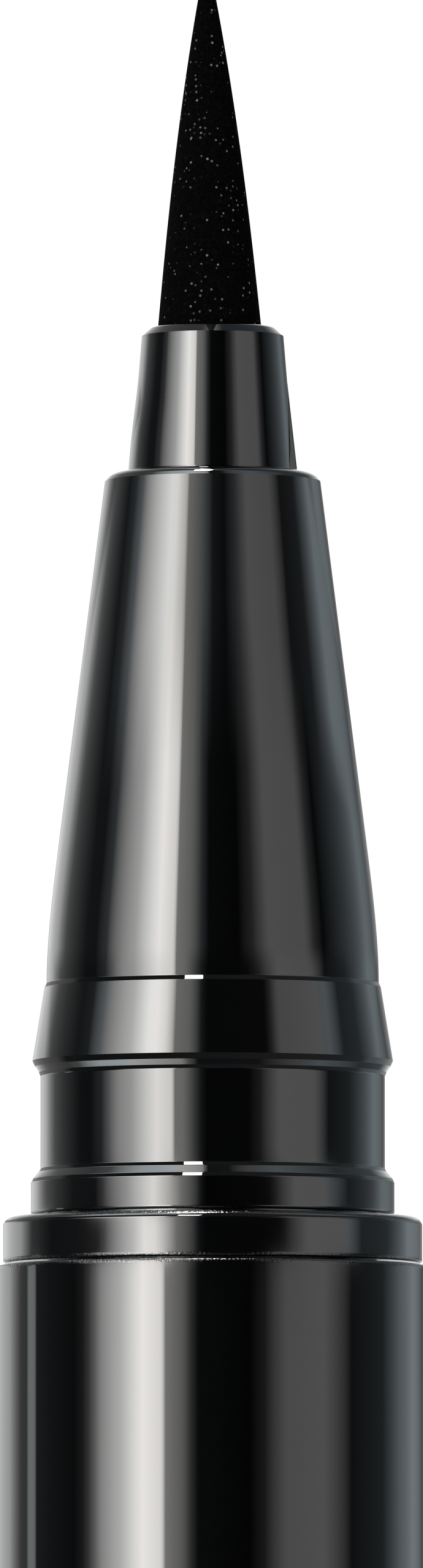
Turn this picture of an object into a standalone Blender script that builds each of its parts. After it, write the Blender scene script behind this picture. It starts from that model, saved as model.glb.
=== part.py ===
"""A felt-tip liquid eyeliner, stood on its posted cap with the tip up. Lengths are in metres."""

import math

import bmesh
import bpy
from mathutils import Matrix, Vector

# Clearances
SEAT_GAP = 0.00005  # end to end, between pieces that rest on each other
FIT_GAP = 0.00005  # radial, between pieces pressed into each other
SLIDE_GAP = 0.00008  # radial, between pieces that slide
SEAL_GAP = 0.00004  # round a sealing ring in its groove
MERGE_DISTANCE = 0.0000005
CUT_OVERRUN = 0.0004

# Roundness
OUTER_STEPS = 36
INNER_STEPS = 24
ARC_STEPS = 4
EDGE_ARC_STEPS = 1
ARC_ROOM_SHARE = 0.48  # of the shorter side next to a rounded corner
EDGE_ROUND = 0.00007  # on crisp moulded edges
SMOOTH_ANGLE = math.radians(28)

# Barrel
BARREL_RADIUS = 0.0053
BARREL_LENGTH = 0.084
BARREL_WALL = 0.00055
TANK_WALL = 0.0006
COLLAR_STEP = 0.00013  # collar inside the barrel's outer surface
COLLAR_HEIGHT = 0.00114
COLLAR_ROUND = 0.00024

# Nose, from its seal land up to the nib holder
CAP_WALL = 0.00074
CAP_GAP = 0.000075  # between the cap's bore and the seal land
LAND_HEIGHT = 0.00116
LAND_CHAMFER_HEIGHT = 0.0003
NECK_STEP = 0.000235  # neck inside the seal land
NECK_HEIGHT = 0.00228
LIP_STEP = 0.0002  # snap lip outside the neck
LIP_ROUND = 0.00018
LIP_HEIGHT = 0.00034
BAND_TAPER = 0.000295
BAND_STEP = 0.00005  # cone's foot inside the band's top
BAND_HEIGHT = 0.00219
CONE_FOOT_TAPER = 0.000295
CONE_FOOT_HEIGHT = 0.00352
CONE_HEIGHT = 0.01276
CONE_FOOT_STEPS = 5
NOSE_TOP_RADIUS = 0.00264
NOSE_CORNER = 0.00045
STEM_LENGTH = 0.009  # of the nose inside the tank
STEM_WALL = 0.001
GROOVE_DEPTH = 0.00055
GROOVE_DROP = 0.003  # from the land's lower face to the groove
NOSE_WEB = 0.002  # between the collector's chamber and the nib holder's stem

# Nib holder
HOLDER_HEIGHT = 0.00357
HOLDER_BASE_RADIUS = 0.00203
HOLDER_TOP_RADIUS = 0.001735
HOLDER_CORNER = 0.00042
HOLDER_WALL = 0.00045
HOLDER_FLOOR = 0.001
RIB_HEIGHT = 0.00217
RIB_FULL_HEIGHT = 0.00125
RIB_PROUD = 0.000056
RIB_SUNK = 0.0004  # how far the rib's root lies inside the holder's wall
RIB_HALF_WIDTH = 0.00066
RIB_TOP_HALF_WIDTH = 0.00022
RIB_DRAFT = math.radians(13)

# Felt tip
TIP_RADIUS = 0.00128
TIP_LENGTH = 0.00936
TIP_ROOT_LENGTH = 0.010
TIP_ROOT_ROUND = 0.0002
TIP_POINT_RADIUS = 0.00005
TIP_LEAN = math.radians(0.44)
TIP_STEPS = 11
TIP_STRAIGHT_SHARE = 0.7
TIP_BULGE_POWER = 2.5

# Feed
CORE_RADIUS = 0.00055
CORE_STEPS = 16
TUBE_WALL = 0.0003
FEED_TAIL = 0.0006  # of the feed below the tank plug
FIN_COUNT = 12
FIN_STEPS = 20
FIN_FILL_SHARE = 0.5
FIN_ROOT_RADIUS = 0.0015
SLIT_WIDTH = 0.0005
SLIT_SUNK = 0.0002  # into the spool's core
TANK_PLUG_RIM = 0.0008
TANK_PLUG_BODY = 0.0016
TANK_PORT_RADIUS = 0.0005
TANK_PORT_STEPS = 12
BALL_RADIUS = 0.0025

# Tail
PEG_LENGTH = 0.011
PEG_WALL = 0.0009
PEG_END_ROUND = 0.0006
PEG_STEM_LENGTH = 0.006
PEG_ROOT_RELIEF = 0.0002  # from the peg's root to the cap's snap bead
PLUG_FLANGE = 0.001
PLUG_DEPTH = 0.004
PLUG_ROUND = 0.0003
PLUG_WALL = 0.0007

# Cap
CAP_END_WALL = 0.0012
CAP_END_ROUND = 0.0006
BEAD_GRIP = 0.00011  # bead under the snap lip, measured along the radius
BEAD_HEIGHT = 0.0006
BEAD_RAMP = 0.0002  # height of each of the bead's slopes
SPRING_LENGTH = 0.0036
SPRING_TURNS = 4
SPRING_STEPS = 12
SPRING_WIRE_RADIUS = 0.00017
SPRING_INSET = 0.0001  # from the spring's outside to the inner cap's flange edge
FLANGE_WIDTH = 0.0007
FLANGE_HEIGHT = 0.0008
LINER_GUIDE = 0.0045
INNER_CAP_WALL = 0.00075
INNER_CAP_ROOM = 0.0003  # between the nib holder and the inner cap
INNER_CAP_PRESS = 0.0011  # how far the nose pushes the inner cap back
GASKET_HEIGHT = 0.0006
GASKET_ROUND = 0.0002
TIP_ROOM = 0.0009

# Radii that follow from the barrel and its walls
SLEEVE_BORE = BARREL_RADIUS - BARREL_WALL
TANK_RADIUS = SLEEVE_BORE - FIT_GAP
TANK_BORE = TANK_RADIUS - TANK_WALL
STEM_RADIUS = TANK_BORE - FIT_GAP
GROOVE_RADIUS = STEM_RADIUS - GROOVE_DEPTH
COLLECTOR_BORE = STEM_RADIUS - STEM_WALL
COLLAR_RADIUS = BARREL_RADIUS - COLLAR_STEP
CAP_BORE = BARREL_RADIUS - CAP_WALL
LAND_RADIUS = CAP_BORE - CAP_GAP
NECK_RADIUS = LAND_RADIUS - NECK_STEP
LIP_RADIUS = NECK_RADIUS + LIP_STEP
BAND_TOP_RADIUS = LIP_RADIUS - BAND_TAPER
CONE_FOOT_RADIUS = BAND_TOP_RADIUS - BAND_STEP
CONE_SHOULDER_RADIUS = CONE_FOOT_RADIUS - CONE_FOOT_TAPER
BEAD_RADIUS = LIP_RADIUS - BEAD_GRIP
PEG_ROOT_RADIUS = CAP_BORE - SLIDE_GAP
PEG_RADIUS = BEAD_RADIUS - SLIDE_GAP

# Sealing rings, which fill the space between a groove and the tank's wall
SEAL_RING_RADIUS = (TANK_BORE - GROOVE_RADIUS) / 2 - SEAL_GAP
SEAL_CENTRE_RADIUS = (TANK_BORE + GROOVE_RADIUS) / 2
SEAL_RING_STEPS = 8
GROOVE_WIDTH = 2 * (SEAL_RING_RADIUS + SEAL_GAP)

# Bores in the nib holder and the nose
TIP_BORE = TIP_RADIUS + FIT_GAP
TIP_MOUTH = TIP_BORE + TIP_ROOT_LENGTH * math.tan(TIP_LEAN)
HOLDER_STEM_RADIUS = TIP_MOUTH + HOLDER_WALL
HOLDER_BORE = HOLDER_STEM_RADIUS + FIT_GAP
CORE_BORE = CORE_RADIUS + FIT_GAP
TUBE_RADIUS = CORE_BORE + TUBE_WALL
TUBE_BORE = TUBE_RADIUS + FIT_GAP

# Inner cap, which goes round the nib holder when the cap is on
INNER_CAP_BORE = HOLDER_BASE_RADIUS + RIB_PROUD + INNER_CAP_ROOM
INNER_CAP_RADIUS = INNER_CAP_BORE + INNER_CAP_WALL
FLANGE_RADIUS = INNER_CAP_RADIUS + FLANGE_WIDTH
SPRING_RADIUS = FLANGE_RADIUS - SPRING_INSET - SPRING_WIRE_RADIUS

# Heights inside the nose, from the land's lower face
NECK_BASE = LAND_HEIGHT
BAND_BASE = NECK_BASE + NECK_HEIGHT
CONE_BASE = BAND_BASE + BAND_HEIGHT
NOSE_HEIGHT = CONE_BASE + CONE_HEIGHT
HOLDER_STEM_LENGTH = TIP_ROOT_LENGTH - HOLDER_HEIGHT + HOLDER_FLOOR
HOLDER_SEAT = NOSE_HEIGHT - HOLDER_STEM_LENGTH
CHAMBER_TOP = HOLDER_SEAT - NOSE_WEB

# Heights of the whole stack, from the foot of the cap
LINER_BASE = CAP_END_WALL + SEAT_GAP
INNER_CAP_BASE = LINER_BASE + SPRING_LENGTH + SEAT_GAP
INNER_CAP_FLOOR = FLANGE_HEIGHT
FRONT_LENGTH = NOSE_HEIGHT + HOLDER_HEIGHT + TIP_LENGTH + 2 * SEAT_GAP
CAP_LENGTH = INNER_CAP_BASE + INNER_CAP_FLOOR + TIP_ROOM + FRONT_LENGTH
GASKET_BASE = CAP_LENGTH - NOSE_HEIGHT + INNER_CAP_PRESS - GASKET_HEIGHT
INNER_CAP_TOP = GASKET_BASE - SEAT_GAP
BEAD_BASE = CAP_LENGTH - LAND_HEIGHT - NECK_HEIGHT
PEG_BASE = CAP_LENGTH + SEAT_GAP - PEG_LENGTH
PEG_ROOT_BASE = BEAD_BASE + BEAD_HEIGHT + PEG_ROOT_RELIEF
BARREL_BASE = CAP_LENGTH + SEAT_GAP
BARREL_TOP = BARREL_BASE + BARREL_LENGTH
PLUG_BASE = BARREL_BASE + PEG_STEM_LENGTH + SEAT_GAP
PLUG_TOP = PLUG_BASE + PLUG_FLANGE + PLUG_DEPTH
TANK_BASE = PLUG_BASE + PLUG_FLANGE + SEAT_GAP
BALL_HEIGHT = PLUG_TOP + SEAT_GAP + BALL_RADIUS
COLLAR_BASE = BARREL_TOP + SEAT_GAP
NOSE_BASE = COLLAR_BASE + COLLAR_HEIGHT + SEAT_GAP
HOLDER_BASE = NOSE_BASE + NOSE_HEIGHT + SEAT_GAP
TIP_ROOT_BASE = HOLDER_BASE + HOLDER_HEIGHT - TIP_ROOT_LENGTH
TANK_PLUG_BASE = NOSE_BASE - STEM_LENGTH - SEAT_GAP - TANK_PLUG_RIM
COLLECTOR_BASE = TANK_PLUG_BASE + TANK_PLUG_RIM + TANK_PLUG_BODY + SEAT_GAP
COLLECTOR_LENGTH = NOSE_BASE + CHAMBER_TOP - SEAT_GAP - COLLECTOR_BASE
FEED_BASE = TANK_PLUG_BASE - FEED_TAIL

# Finishes: colour, roughness, metallic
FINISHES = {
    "gloss_black_plastic": ("#0A0A0B", 0.08, 0.0),
    "gloss_black_collar": ("#0D0D0E", 0.12, 0.0),
    "black_felt": ("#121213", 0.75, 0.0),
    "milky_plastic": ("#D9D9D2", 0.35, 0.0),
    "grey_plastic": ("#8D8F90", 0.4, 0.0),
    "feed_fibre": ("#3A3836", 0.9, 0.0),
    "black_rubber": ("#1C1C1C", 0.6, 0.0),
    "clear_grey_rubber": ("#A9ABA8", 0.5, 0.0),
    "polished_steel": ("#C8C9CB", 0.15, 1.0),
}


def clear_scene():
    for obj in list(bpy.data.objects):
        bpy.data.objects.remove(obj, do_unlink=True)


def linear_colour(hex_colour):
    """Linear colour, with alpha, of an sRGB hex value."""
    channels = [int(hex_colour[place : place + 2], 16) / 255 for place in (1, 3, 5)]
    return [c / 12.92 if c <= 0.04045 else ((c + 0.055) / 1.055) ** 2.4 for c in channels] + [1]


def finish(name):
    """Material of that name, made the first time that it is asked for."""
    if name in bpy.data.materials:
        return bpy.data.materials[name]
    colour, roughness, metallic = FINISHES[name]
    material = bpy.data.materials.new(name)
    material.use_nodes = True
    shader = material.node_tree.nodes["Principled BSDF"]
    shader.inputs["Base Color"].default_value = linear_colour(colour)
    shader.inputs["Roughness"].default_value = roughness
    shader.inputs["Metallic"].default_value = metallic
    material.diffuse_color = linear_colour(colour)
    return material


def group_empty(name):
    """Empty on the pen's axis that carries the pieces of one rigid group."""
    empty = bpy.data.objects.new(name, None)
    bpy.context.scene.collection.objects.link(empty)
    return empty


def placed(name, data, material, height, parent):
    """Object on the pen's axis, its local zero at a height above the foot."""
    obj = bpy.data.objects.new(name, data)
    obj.location.z = height
    obj.parent = parent
    obj.data.materials.append(finish(material))
    bpy.context.scene.collection.objects.link(obj)
    return obj


def rounded(corners):
    """Points of an outline of (radius, height, rounding) corners, where the rounding may be left out."""
    points = []
    for index, (radius, height, *rounding) in enumerate(corners):
        corner = Vector((radius, height))
        if not rounding:
            points.append(corner)
            continue
        before = Vector(corners[index - 1][:2]) - corner
        after = Vector(corners[(index + 1) % len(corners)][:2]) - corner
        half_angle = before.angle(after) / 2
        room = ARC_ROOM_SHARE * min(before.length, after.length)
        reach = min(rounding[0] / math.tan(half_angle), room)
        inward = (before.normalized() + after.normalized()).normalized()
        centre = corner + inward * reach / math.cos(half_angle)
        start = corner + before.normalized() * reach - centre
        end = corner + after.normalized() * reach - centre
        steps = ARC_STEPS if rounding[0] > EDGE_ROUND else EDGE_ARC_STEPS
        turns = [start.slerp(end, step / steps).normalized() for step in range(steps + 1)]
        points += [centre + turn * start.length for turn in turns]
    return points


def turned_mesh(name, points, steps):
    """Closed mesh of an outline turned about Z. A side of the outline on the axis makes no face."""
    shape = bmesh.new()
    verts = [shape.verts.new((point[0], 0, point[1])) for point in points]
    sides = zip(verts, verts[1:] + verts[:1])
    edges = [shape.edges.new(side) for side in sides if side[0].co.x or side[1].co.x]
    bmesh.ops.spin(
        shape, geom=verts + edges, axis=(0, 0, 1), angle=math.tau, steps=steps, use_merge=True
    )
    bmesh.ops.remove_doubles(shape, verts=shape.verts, dist=MERGE_DISTANCE)
    bmesh.ops.recalc_face_normals(shape, faces=shape.faces)
    if shape.calc_volume(signed=True) < 0:
        bmesh.ops.reverse_faces(shape, faces=shape.faces)
    return saved(shape, name)


def saved(shape, name):
    mesh = bpy.data.meshes.new(name)
    shape.to_mesh(mesh)
    shape.free()
    mesh.shade_smooth()
    mesh.set_sharp_from_angle(angle=SMOOTH_ANGLE)
    return mesh


def turned(name, corners, steps, material, height, parent):
    return placed(name, turned_mesh(name, rounded(corners), steps), material, height, parent)


def helper(name, mesh, parent):
    """Object that only shapes another one, so it is left out of a render."""
    obj = bpy.data.objects.new(name, mesh)
    obj.parent = parent
    obj.hide_render = True
    obj.display_type = "WIRE"
    bpy.context.scene.collection.objects.link(obj)
    return obj


def combine(obj, other, operation):
    modifier = obj.modifiers.new(other.name, "BOOLEAN")
    modifier.solver = "EXACT"
    modifier.operation = operation
    modifier.object = other


def box_mesh(name, low, high):
    shape = bmesh.new()
    size = Vector(high) - Vector(low)
    middle = (Vector(high) + Vector(low)) / 2
    matrix = Matrix.Translation(middle) @ Matrix.Diagonal(size).to_4x4()
    bmesh.ops.create_cube(shape, size=1, matrix=matrix)
    return saved(shape, name)


# Barrel


def outer_sleeve(pen):
    corners = [
        (SLEEVE_BORE, 0),
        (BARREL_RADIUS, 0, EDGE_ROUND),
        (BARREL_RADIUS, BARREL_LENGTH, EDGE_ROUND),
        (SLEEVE_BORE, BARREL_LENGTH),
    ]
    turned("outer_sleeve", corners, OUTER_STEPS, "gloss_black_plastic", BARREL_BASE, pen)


def ink_tank(pen):
    length = BARREL_TOP - TANK_BASE
    corners = [(TANK_BORE, 0), (TANK_RADIUS, 0), (TANK_RADIUS, length), (TANK_BORE, length)]
    turned("ink_tank", corners, OUTER_STEPS, "milky_plastic", TANK_BASE, pen)


def middle_ring(pen):
    corners = [
        (TANK_BORE, 0),
        (COLLAR_RADIUS, 0, EDGE_ROUND),
        (COLLAR_RADIUS, COLLAR_HEIGHT, COLLAR_ROUND),
        (TANK_BORE, COLLAR_HEIGHT),
    ]
    turned("middle_ring", corners, OUTER_STEPS, "gloss_black_collar", COLLAR_BASE, pen)


def mixing_ball():
    shape = bmesh.new()
    bmesh.ops.create_icosphere(shape, subdivisions=3, radius=BALL_RADIUS)
    placed("mixing_ball", saved(shape, "mixing_ball"), "polished_steel", BALL_HEIGHT, None)


# Nose


def cone_foot_curve():
    """Points from the cone's foot, where it is upright, up to where the straight cone begins."""
    straight_height = CONE_HEIGHT - CONE_FOOT_HEIGHT
    slope = (CONE_SHOULDER_RADIUS - NOSE_TOP_RADIUS) / straight_height * CONE_FOOT_HEIGHT
    points = []
    for step in range(CONE_FOOT_STEPS + 1):
        t = step / CONE_FOOT_STEPS
        fall = CONE_FOOT_TAPER * (3 * t**2 - 2 * t**3) + slope * (t**3 - t**2)
        points.append((CONE_FOOT_RADIUS - fall, CONE_BASE + t * CONE_FOOT_HEIGHT))
    return points


def groove(radius, base, depth_radius):
    """Corners of a groove for a sealing ring, from its lower end up."""
    return [
        (radius, base),
        (depth_radius, base),
        (depth_radius, base + GROOVE_WIDTH),
        (radius, base + GROOVE_WIDTH),
    ]


def nose_cone(pen):
    stem = [
        (COLLECTOR_BORE, -STEM_LENGTH),
        (STEM_RADIUS, -STEM_LENGTH, EDGE_ROUND),
        *groove(STEM_RADIUS, -GROOVE_DROP - GROOVE_WIDTH, GROOVE_RADIUS),
        (STEM_RADIUS, 0),
    ]
    front = [
        (LAND_RADIUS, 0, EDGE_ROUND),
        (LAND_RADIUS, LAND_HEIGHT - LAND_CHAMFER_HEIGHT, EDGE_ROUND),
        (NECK_RADIUS, NECK_BASE),
        (NECK_RADIUS, BAND_BASE),
        (LIP_RADIUS, BAND_BASE, LIP_ROUND),
        (LIP_RADIUS, BAND_BASE + LIP_HEIGHT, EDGE_ROUND),
        (BAND_TOP_RADIUS, CONE_BASE),
        *cone_foot_curve(),
        (NOSE_TOP_RADIUS, NOSE_HEIGHT, NOSE_CORNER),
    ]
    bore = [
        (HOLDER_BORE, NOSE_HEIGHT),
        (HOLDER_BORE, HOLDER_SEAT),
        (TUBE_BORE, HOLDER_SEAT),
        (TUBE_BORE, CHAMBER_TOP),
        (COLLECTOR_BORE, CHAMBER_TOP),
    ]
    turned("nose_cone", stem + front + bore, OUTER_STEPS, "gloss_black_plastic", NOSE_BASE, pen)


def seal_ring(name, groove_base, pen):
    """Ring of round section in the middle of a groove."""
    points = []
    for step in range(SEAL_RING_STEPS):
        angle = math.tau * step / SEAL_RING_STEPS
        across = SEAL_CENTRE_RADIUS + SEAL_RING_RADIUS * math.cos(angle)
        points.append((across, SEAL_RING_RADIUS * math.sin(angle)))
    mesh = turned_mesh(name, points, INNER_STEPS)
    placed(name, mesh, "black_rubber", groove_base + GROOVE_WIDTH / 2, pen)


# Nib holder and tip


def rib_mesh(side):
    """Drafted rib on one side of the holder, from its foot to where it runs out into the wall."""
    slope = (HOLDER_BASE_RADIUS - HOLDER_TOP_RADIUS) / HOLDER_HEIGHT
    levels = [
        (0, RIB_PROUD, RIB_HALF_WIDTH),
        (RIB_FULL_HEIGHT, RIB_PROUD, RIB_HALF_WIDTH),
        (RIB_HEIGHT, 0, RIB_TOP_HALF_WIDTH),
    ]
    shape = bmesh.new()
    for height, proud, half_width in levels:
        crest = HOLDER_BASE_RADIUS - slope * height + proud
        root = crest - RIB_SUNK
        root_half_width = half_width + RIB_SUNK * math.tan(RIB_DRAFT)
        for across in (-1, 1):
            shape.verts.new((side * crest, across * half_width, height))
            shape.verts.new((side * root, across * root_half_width, height))
    bmesh.ops.convex_hull(shape, input=shape.verts)
    bmesh.ops.recalc_face_normals(shape, faces=shape.faces)
    return saved(shape, "holder_rib_shape")


def nib_holder(pen):
    floor = -HOLDER_STEM_LENGTH + HOLDER_FLOOR
    corners = [
        (CORE_BORE, -HOLDER_STEM_LENGTH + SEAT_GAP),
        (HOLDER_STEM_RADIUS, -HOLDER_STEM_LENGTH + SEAT_GAP, EDGE_ROUND),
        (HOLDER_STEM_RADIUS, 0),
        (HOLDER_BASE_RADIUS, 0),
        (HOLDER_TOP_RADIUS, HOLDER_HEIGHT, HOLDER_CORNER),
        (TIP_MOUTH, HOLDER_HEIGHT),
        (TIP_BORE, floor),
        (CORE_BORE, floor),
    ]
    holder = turned("nib_holder", corners, OUTER_STEPS, "gloss_black_plastic", HOLDER_BASE, pen)
    for side, word in ((-1, "left"), (1, "right")):
        combine(holder, helper(f"holder_rib_{word}", rib_mesh(side), holder), "UNION")


def felt_tip(pen):
    """Pressed fibre rod whose exposed end narrows to a point. It leans a little from the pen's axis."""
    corners = [(0, 0), (TIP_RADIUS, 0, TIP_ROOT_ROUND)]
    for step in range(TIP_STEPS):
        t = step / TIP_STEPS
        narrowing = TIP_STRAIGHT_SHARE * t + (1 - TIP_STRAIGHT_SHARE) * t**TIP_BULGE_POWER
        corners.append((TIP_RADIUS * (1 - narrowing), TIP_ROOT_LENGTH + t * TIP_LENGTH))
    end = TIP_ROOT_LENGTH + TIP_LENGTH
    corners += [(TIP_POINT_RADIUS, end - TIP_POINT_RADIUS), (0, end)]
    tip = turned("felt_tip", corners, INNER_STEPS, "black_felt", TIP_ROOT_BASE, pen)
    tip.rotation_euler.y = -TIP_LEAN


# Feed


def feed_core(pen):
    length = TIP_ROOT_BASE - SEAT_GAP - FEED_BASE
    corners = [(0, 0), (CORE_RADIUS, 0), (CORE_RADIUS, length), (0, length)]
    turned("feed_core", corners, CORE_STEPS, "feed_fibre", FEED_BASE, pen)


def feed_tube(pen):
    length = NOSE_BASE + HOLDER_SEAT - FEED_BASE
    corners = [(CORE_BORE, 0), (TUBE_RADIUS, 0), (TUBE_RADIUS, length), (CORE_BORE, length)]
    turned("feed_tube", corners, INNER_STEPS, "milky_plastic", FEED_BASE, pen)


def comb_collector(pen):
    """Finned spool that holds back surplus ink, with one slit that joins the gaps."""
    pitch = COLLECTOR_LENGTH / (FIN_COUNT - 1 + FIN_FILL_SHARE)
    fin_radius = COLLECTOR_BORE - FIT_GAP
    corners = [(TUBE_BORE, 0)]
    for fin in range(FIN_COUNT):
        low = fin * pitch
        high = low + pitch * FIN_FILL_SHARE
        top = low + pitch if fin < FIN_COUNT - 1 else high
        corners += [(fin_radius, low), (fin_radius, high)]
        corners += [(FIN_ROOT_RADIUS, high), (FIN_ROOT_RADIUS, top)] if top > high else []
    corners.append((TUBE_BORE, high))
    collector = turned("comb_collector", corners, FIN_STEPS, "grey_plastic", COLLECTOR_BASE, pen)
    low = (-SLIT_WIDTH / 2, FIN_ROOT_RADIUS - SLIT_SUNK, -CUT_OVERRUN)
    end = (SLIT_WIDTH / 2, COLLECTOR_BORE + CUT_OVERRUN, COLLECTOR_LENGTH + CUT_OVERRUN)
    slit = helper("collector_slit", box_mesh("collector_slit", low, end), collector)
    combine(collector, slit, "DIFFERENCE")


def tank_plug(pen):
    """Plug that keeps the collector in the nose's stem, with a port for the ink."""
    body_radius = COLLECTOR_BORE - FIT_GAP
    length = TANK_PLUG_RIM + TANK_PLUG_BODY
    corners = [
        (TUBE_BORE, 0),
        (STEM_RADIUS, 0, EDGE_ROUND),
        (STEM_RADIUS, TANK_PLUG_RIM),
        (body_radius, TANK_PLUG_RIM),
        (body_radius, length, EDGE_ROUND),
        (TUBE_BORE, length),
    ]
    plug = turned("tank_plug", corners, INNER_STEPS, "milky_plastic", TANK_PLUG_BASE, pen)
    shape = bmesh.new()
    middle = Vector((0, (TUBE_BORE + body_radius) / 2, length / 2))
    bmesh.ops.create_cone(
        shape,
        cap_ends=True,
        segments=TANK_PORT_STEPS,
        radius1=TANK_PORT_RADIUS,
        radius2=TANK_PORT_RADIUS,
        depth=length + 2 * CUT_OVERRUN,
        matrix=Matrix.Translation(middle),
    )
    combine(plug, helper("tank_port", saved(shape, "tank_port"), plug), "DIFFERENCE")


# Tail


def tail_plug(pen):
    """Hollow plug that closes the tank, with a groove for its sealing ring."""
    groove_base = PLUG_FLANGE + (PLUG_DEPTH - GROOVE_WIDTH) / 2
    hollow = GROOVE_RADIUS - PLUG_WALL
    top = PLUG_FLANGE + PLUG_DEPTH
    corners = [
        (hollow, 0),
        (TANK_RADIUS, 0),
        (TANK_RADIUS, PLUG_FLANGE),
        (STEM_RADIUS, PLUG_FLANGE),
        *groove(STEM_RADIUS, groove_base, GROOVE_RADIUS),
        (STEM_RADIUS, top, PLUG_ROUND),
        (0, top),
        (0, top - PLUG_WALL),
        (hollow, top - PLUG_WALL),
    ]
    turned("tail_plug", corners, INNER_STEPS, "milky_plastic", PLUG_BASE, pen)
    seal_ring("tail_seal", PLUG_BASE + groove_base, pen)


def tail_peg(pen):
    """Hollow peg that closes the barrel and carries the posted cap."""
    root_base = PEG_ROOT_BASE - PEG_BASE
    top = PEG_LENGTH + PEG_STEM_LENGTH
    hollow = PEG_RADIUS - PEG_WALL
    corners = [
        (0, 0),
        (PEG_RADIUS, 0, PEG_END_ROUND),
        (PEG_RADIUS, root_base),
        (PEG_ROOT_RADIUS, root_base, EDGE_ROUND),
        (PEG_ROOT_RADIUS, PEG_LENGTH),
        (TANK_RADIUS, PEG_LENGTH),
        (TANK_RADIUS, top),
        (hollow, top),
        (hollow, PEG_WALL, PEG_END_ROUND),
        (0, PEG_WALL),
    ]
    turned("tail_peg", corners, OUTER_STEPS, "gloss_black_plastic", PEG_BASE, pen)


# Cap


def cap_shell(cap):
    corners = [
        (0, 0),
        (BARREL_RADIUS, 0, CAP_END_ROUND),
        (BARREL_RADIUS, CAP_LENGTH, EDGE_ROUND),
        (CAP_BORE, CAP_LENGTH, EDGE_ROUND),
        (CAP_BORE, BEAD_BASE + BEAD_HEIGHT),
        (BEAD_RADIUS, BEAD_BASE + BEAD_HEIGHT - BEAD_RAMP),
        (BEAD_RADIUS, BEAD_BASE + BEAD_RAMP),
        (CAP_BORE, BEAD_BASE),
        (CAP_BORE, CAP_END_WALL),
        (0, CAP_END_WALL),
    ]
    turned("cap_shell", corners, OUTER_STEPS, "gloss_black_plastic", 0, cap)


def cap_liner(cap):
    """Guide pressed into the closed end of the cap. Its ledge keeps the inner cap in."""
    ledge = INNER_CAP_BASE + FLANGE_HEIGHT + SEAT_GAP - LINER_BASE
    top = ledge + LINER_GUIDE
    outside = CAP_BORE - FIT_GAP
    corners = [
        (FLANGE_RADIUS + SLIDE_GAP, 0),
        (outside, 0),
        (outside, top, EDGE_ROUND),
        (INNER_CAP_RADIUS + SLIDE_GAP, top, EDGE_ROUND),
        (INNER_CAP_RADIUS + SLIDE_GAP, ledge),
        (FLANGE_RADIUS + SLIDE_GAP, ledge),
    ]
    turned("cap_liner", corners, INNER_STEPS, "milky_plastic", LINER_BASE, cap)


def cap_spring(cap):
    """Coil spring between the end of the cap and the inner cap."""
    rise = SPRING_LENGTH - 2 * SPRING_WIRE_RADIUS
    count = SPRING_TURNS * SPRING_STEPS
    curve = bpy.data.curves.new("cap_spring", "CURVE")
    curve.dimensions = "3D"
    curve.bevel_depth = SPRING_WIRE_RADIUS
    curve.bevel_resolution = 1
    curve.use_fill_caps = True
    spline = curve.splines.new("POLY")
    spline.points.add(count)
    for step, point in enumerate(spline.points):
        angle = math.tau * step / SPRING_STEPS
        across, along = SPRING_RADIUS * math.cos(angle), SPRING_RADIUS * math.sin(angle)
        point.co = (across, along, SPRING_WIRE_RADIUS + rise * step / count, 1)
    placed("cap_spring", curve, "polished_steel", LINER_BASE, cap)


def inner_cap():
    """Sprung cup that closes round the nib holder, with a soft gasket on its rim."""
    length = INNER_CAP_TOP - INNER_CAP_BASE
    corners = [
        (0, 0),
        (FLANGE_RADIUS, 0),
        (FLANGE_RADIUS, FLANGE_HEIGHT),
        (INNER_CAP_RADIUS, FLANGE_HEIGHT),
        (INNER_CAP_RADIUS, length),
        (INNER_CAP_BORE, length),
        (INNER_CAP_BORE, INNER_CAP_FLOOR),
        (0, INNER_CAP_FLOOR),
    ]
    cup = turned("inner_cap", corners, INNER_STEPS, "milky_plastic", INNER_CAP_BASE, None)
    corners = [
        (INNER_CAP_BORE, 0),
        (INNER_CAP_RADIUS, 0),
        (INNER_CAP_RADIUS, GASKET_HEIGHT, GASKET_ROUND),
        (INNER_CAP_BORE, GASKET_HEIGHT, GASKET_ROUND),
    ]
    height = GASKET_BASE - INNER_CAP_BASE
    turned("inner_cap_gasket", corners, INNER_STEPS, "clear_grey_rubber", height, cup)


def main():
    clear_scene()
    pen = group_empty("pen")
    cap = group_empty("cap")
    for build in (outer_sleeve, ink_tank, middle_ring, nose_cone, nib_holder, felt_tip):
        build(pen)
    seal_ring("section_seal", NOSE_BASE - GROOVE_DROP - GROOVE_WIDTH, pen)
    for build in (feed_core, feed_tube, comb_collector, tank_plug, tail_plug, tail_peg):
        build(pen)
    mixing_ball()
    for build in (cap_shell, cap_liner, cap_spring):
        build(cap)
    inner_cap()


main()
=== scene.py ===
"""A felt-tip eyeliner that stands on its posted cap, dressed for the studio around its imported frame.

Lengths are in metres."""

import math
from functools import partial

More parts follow.
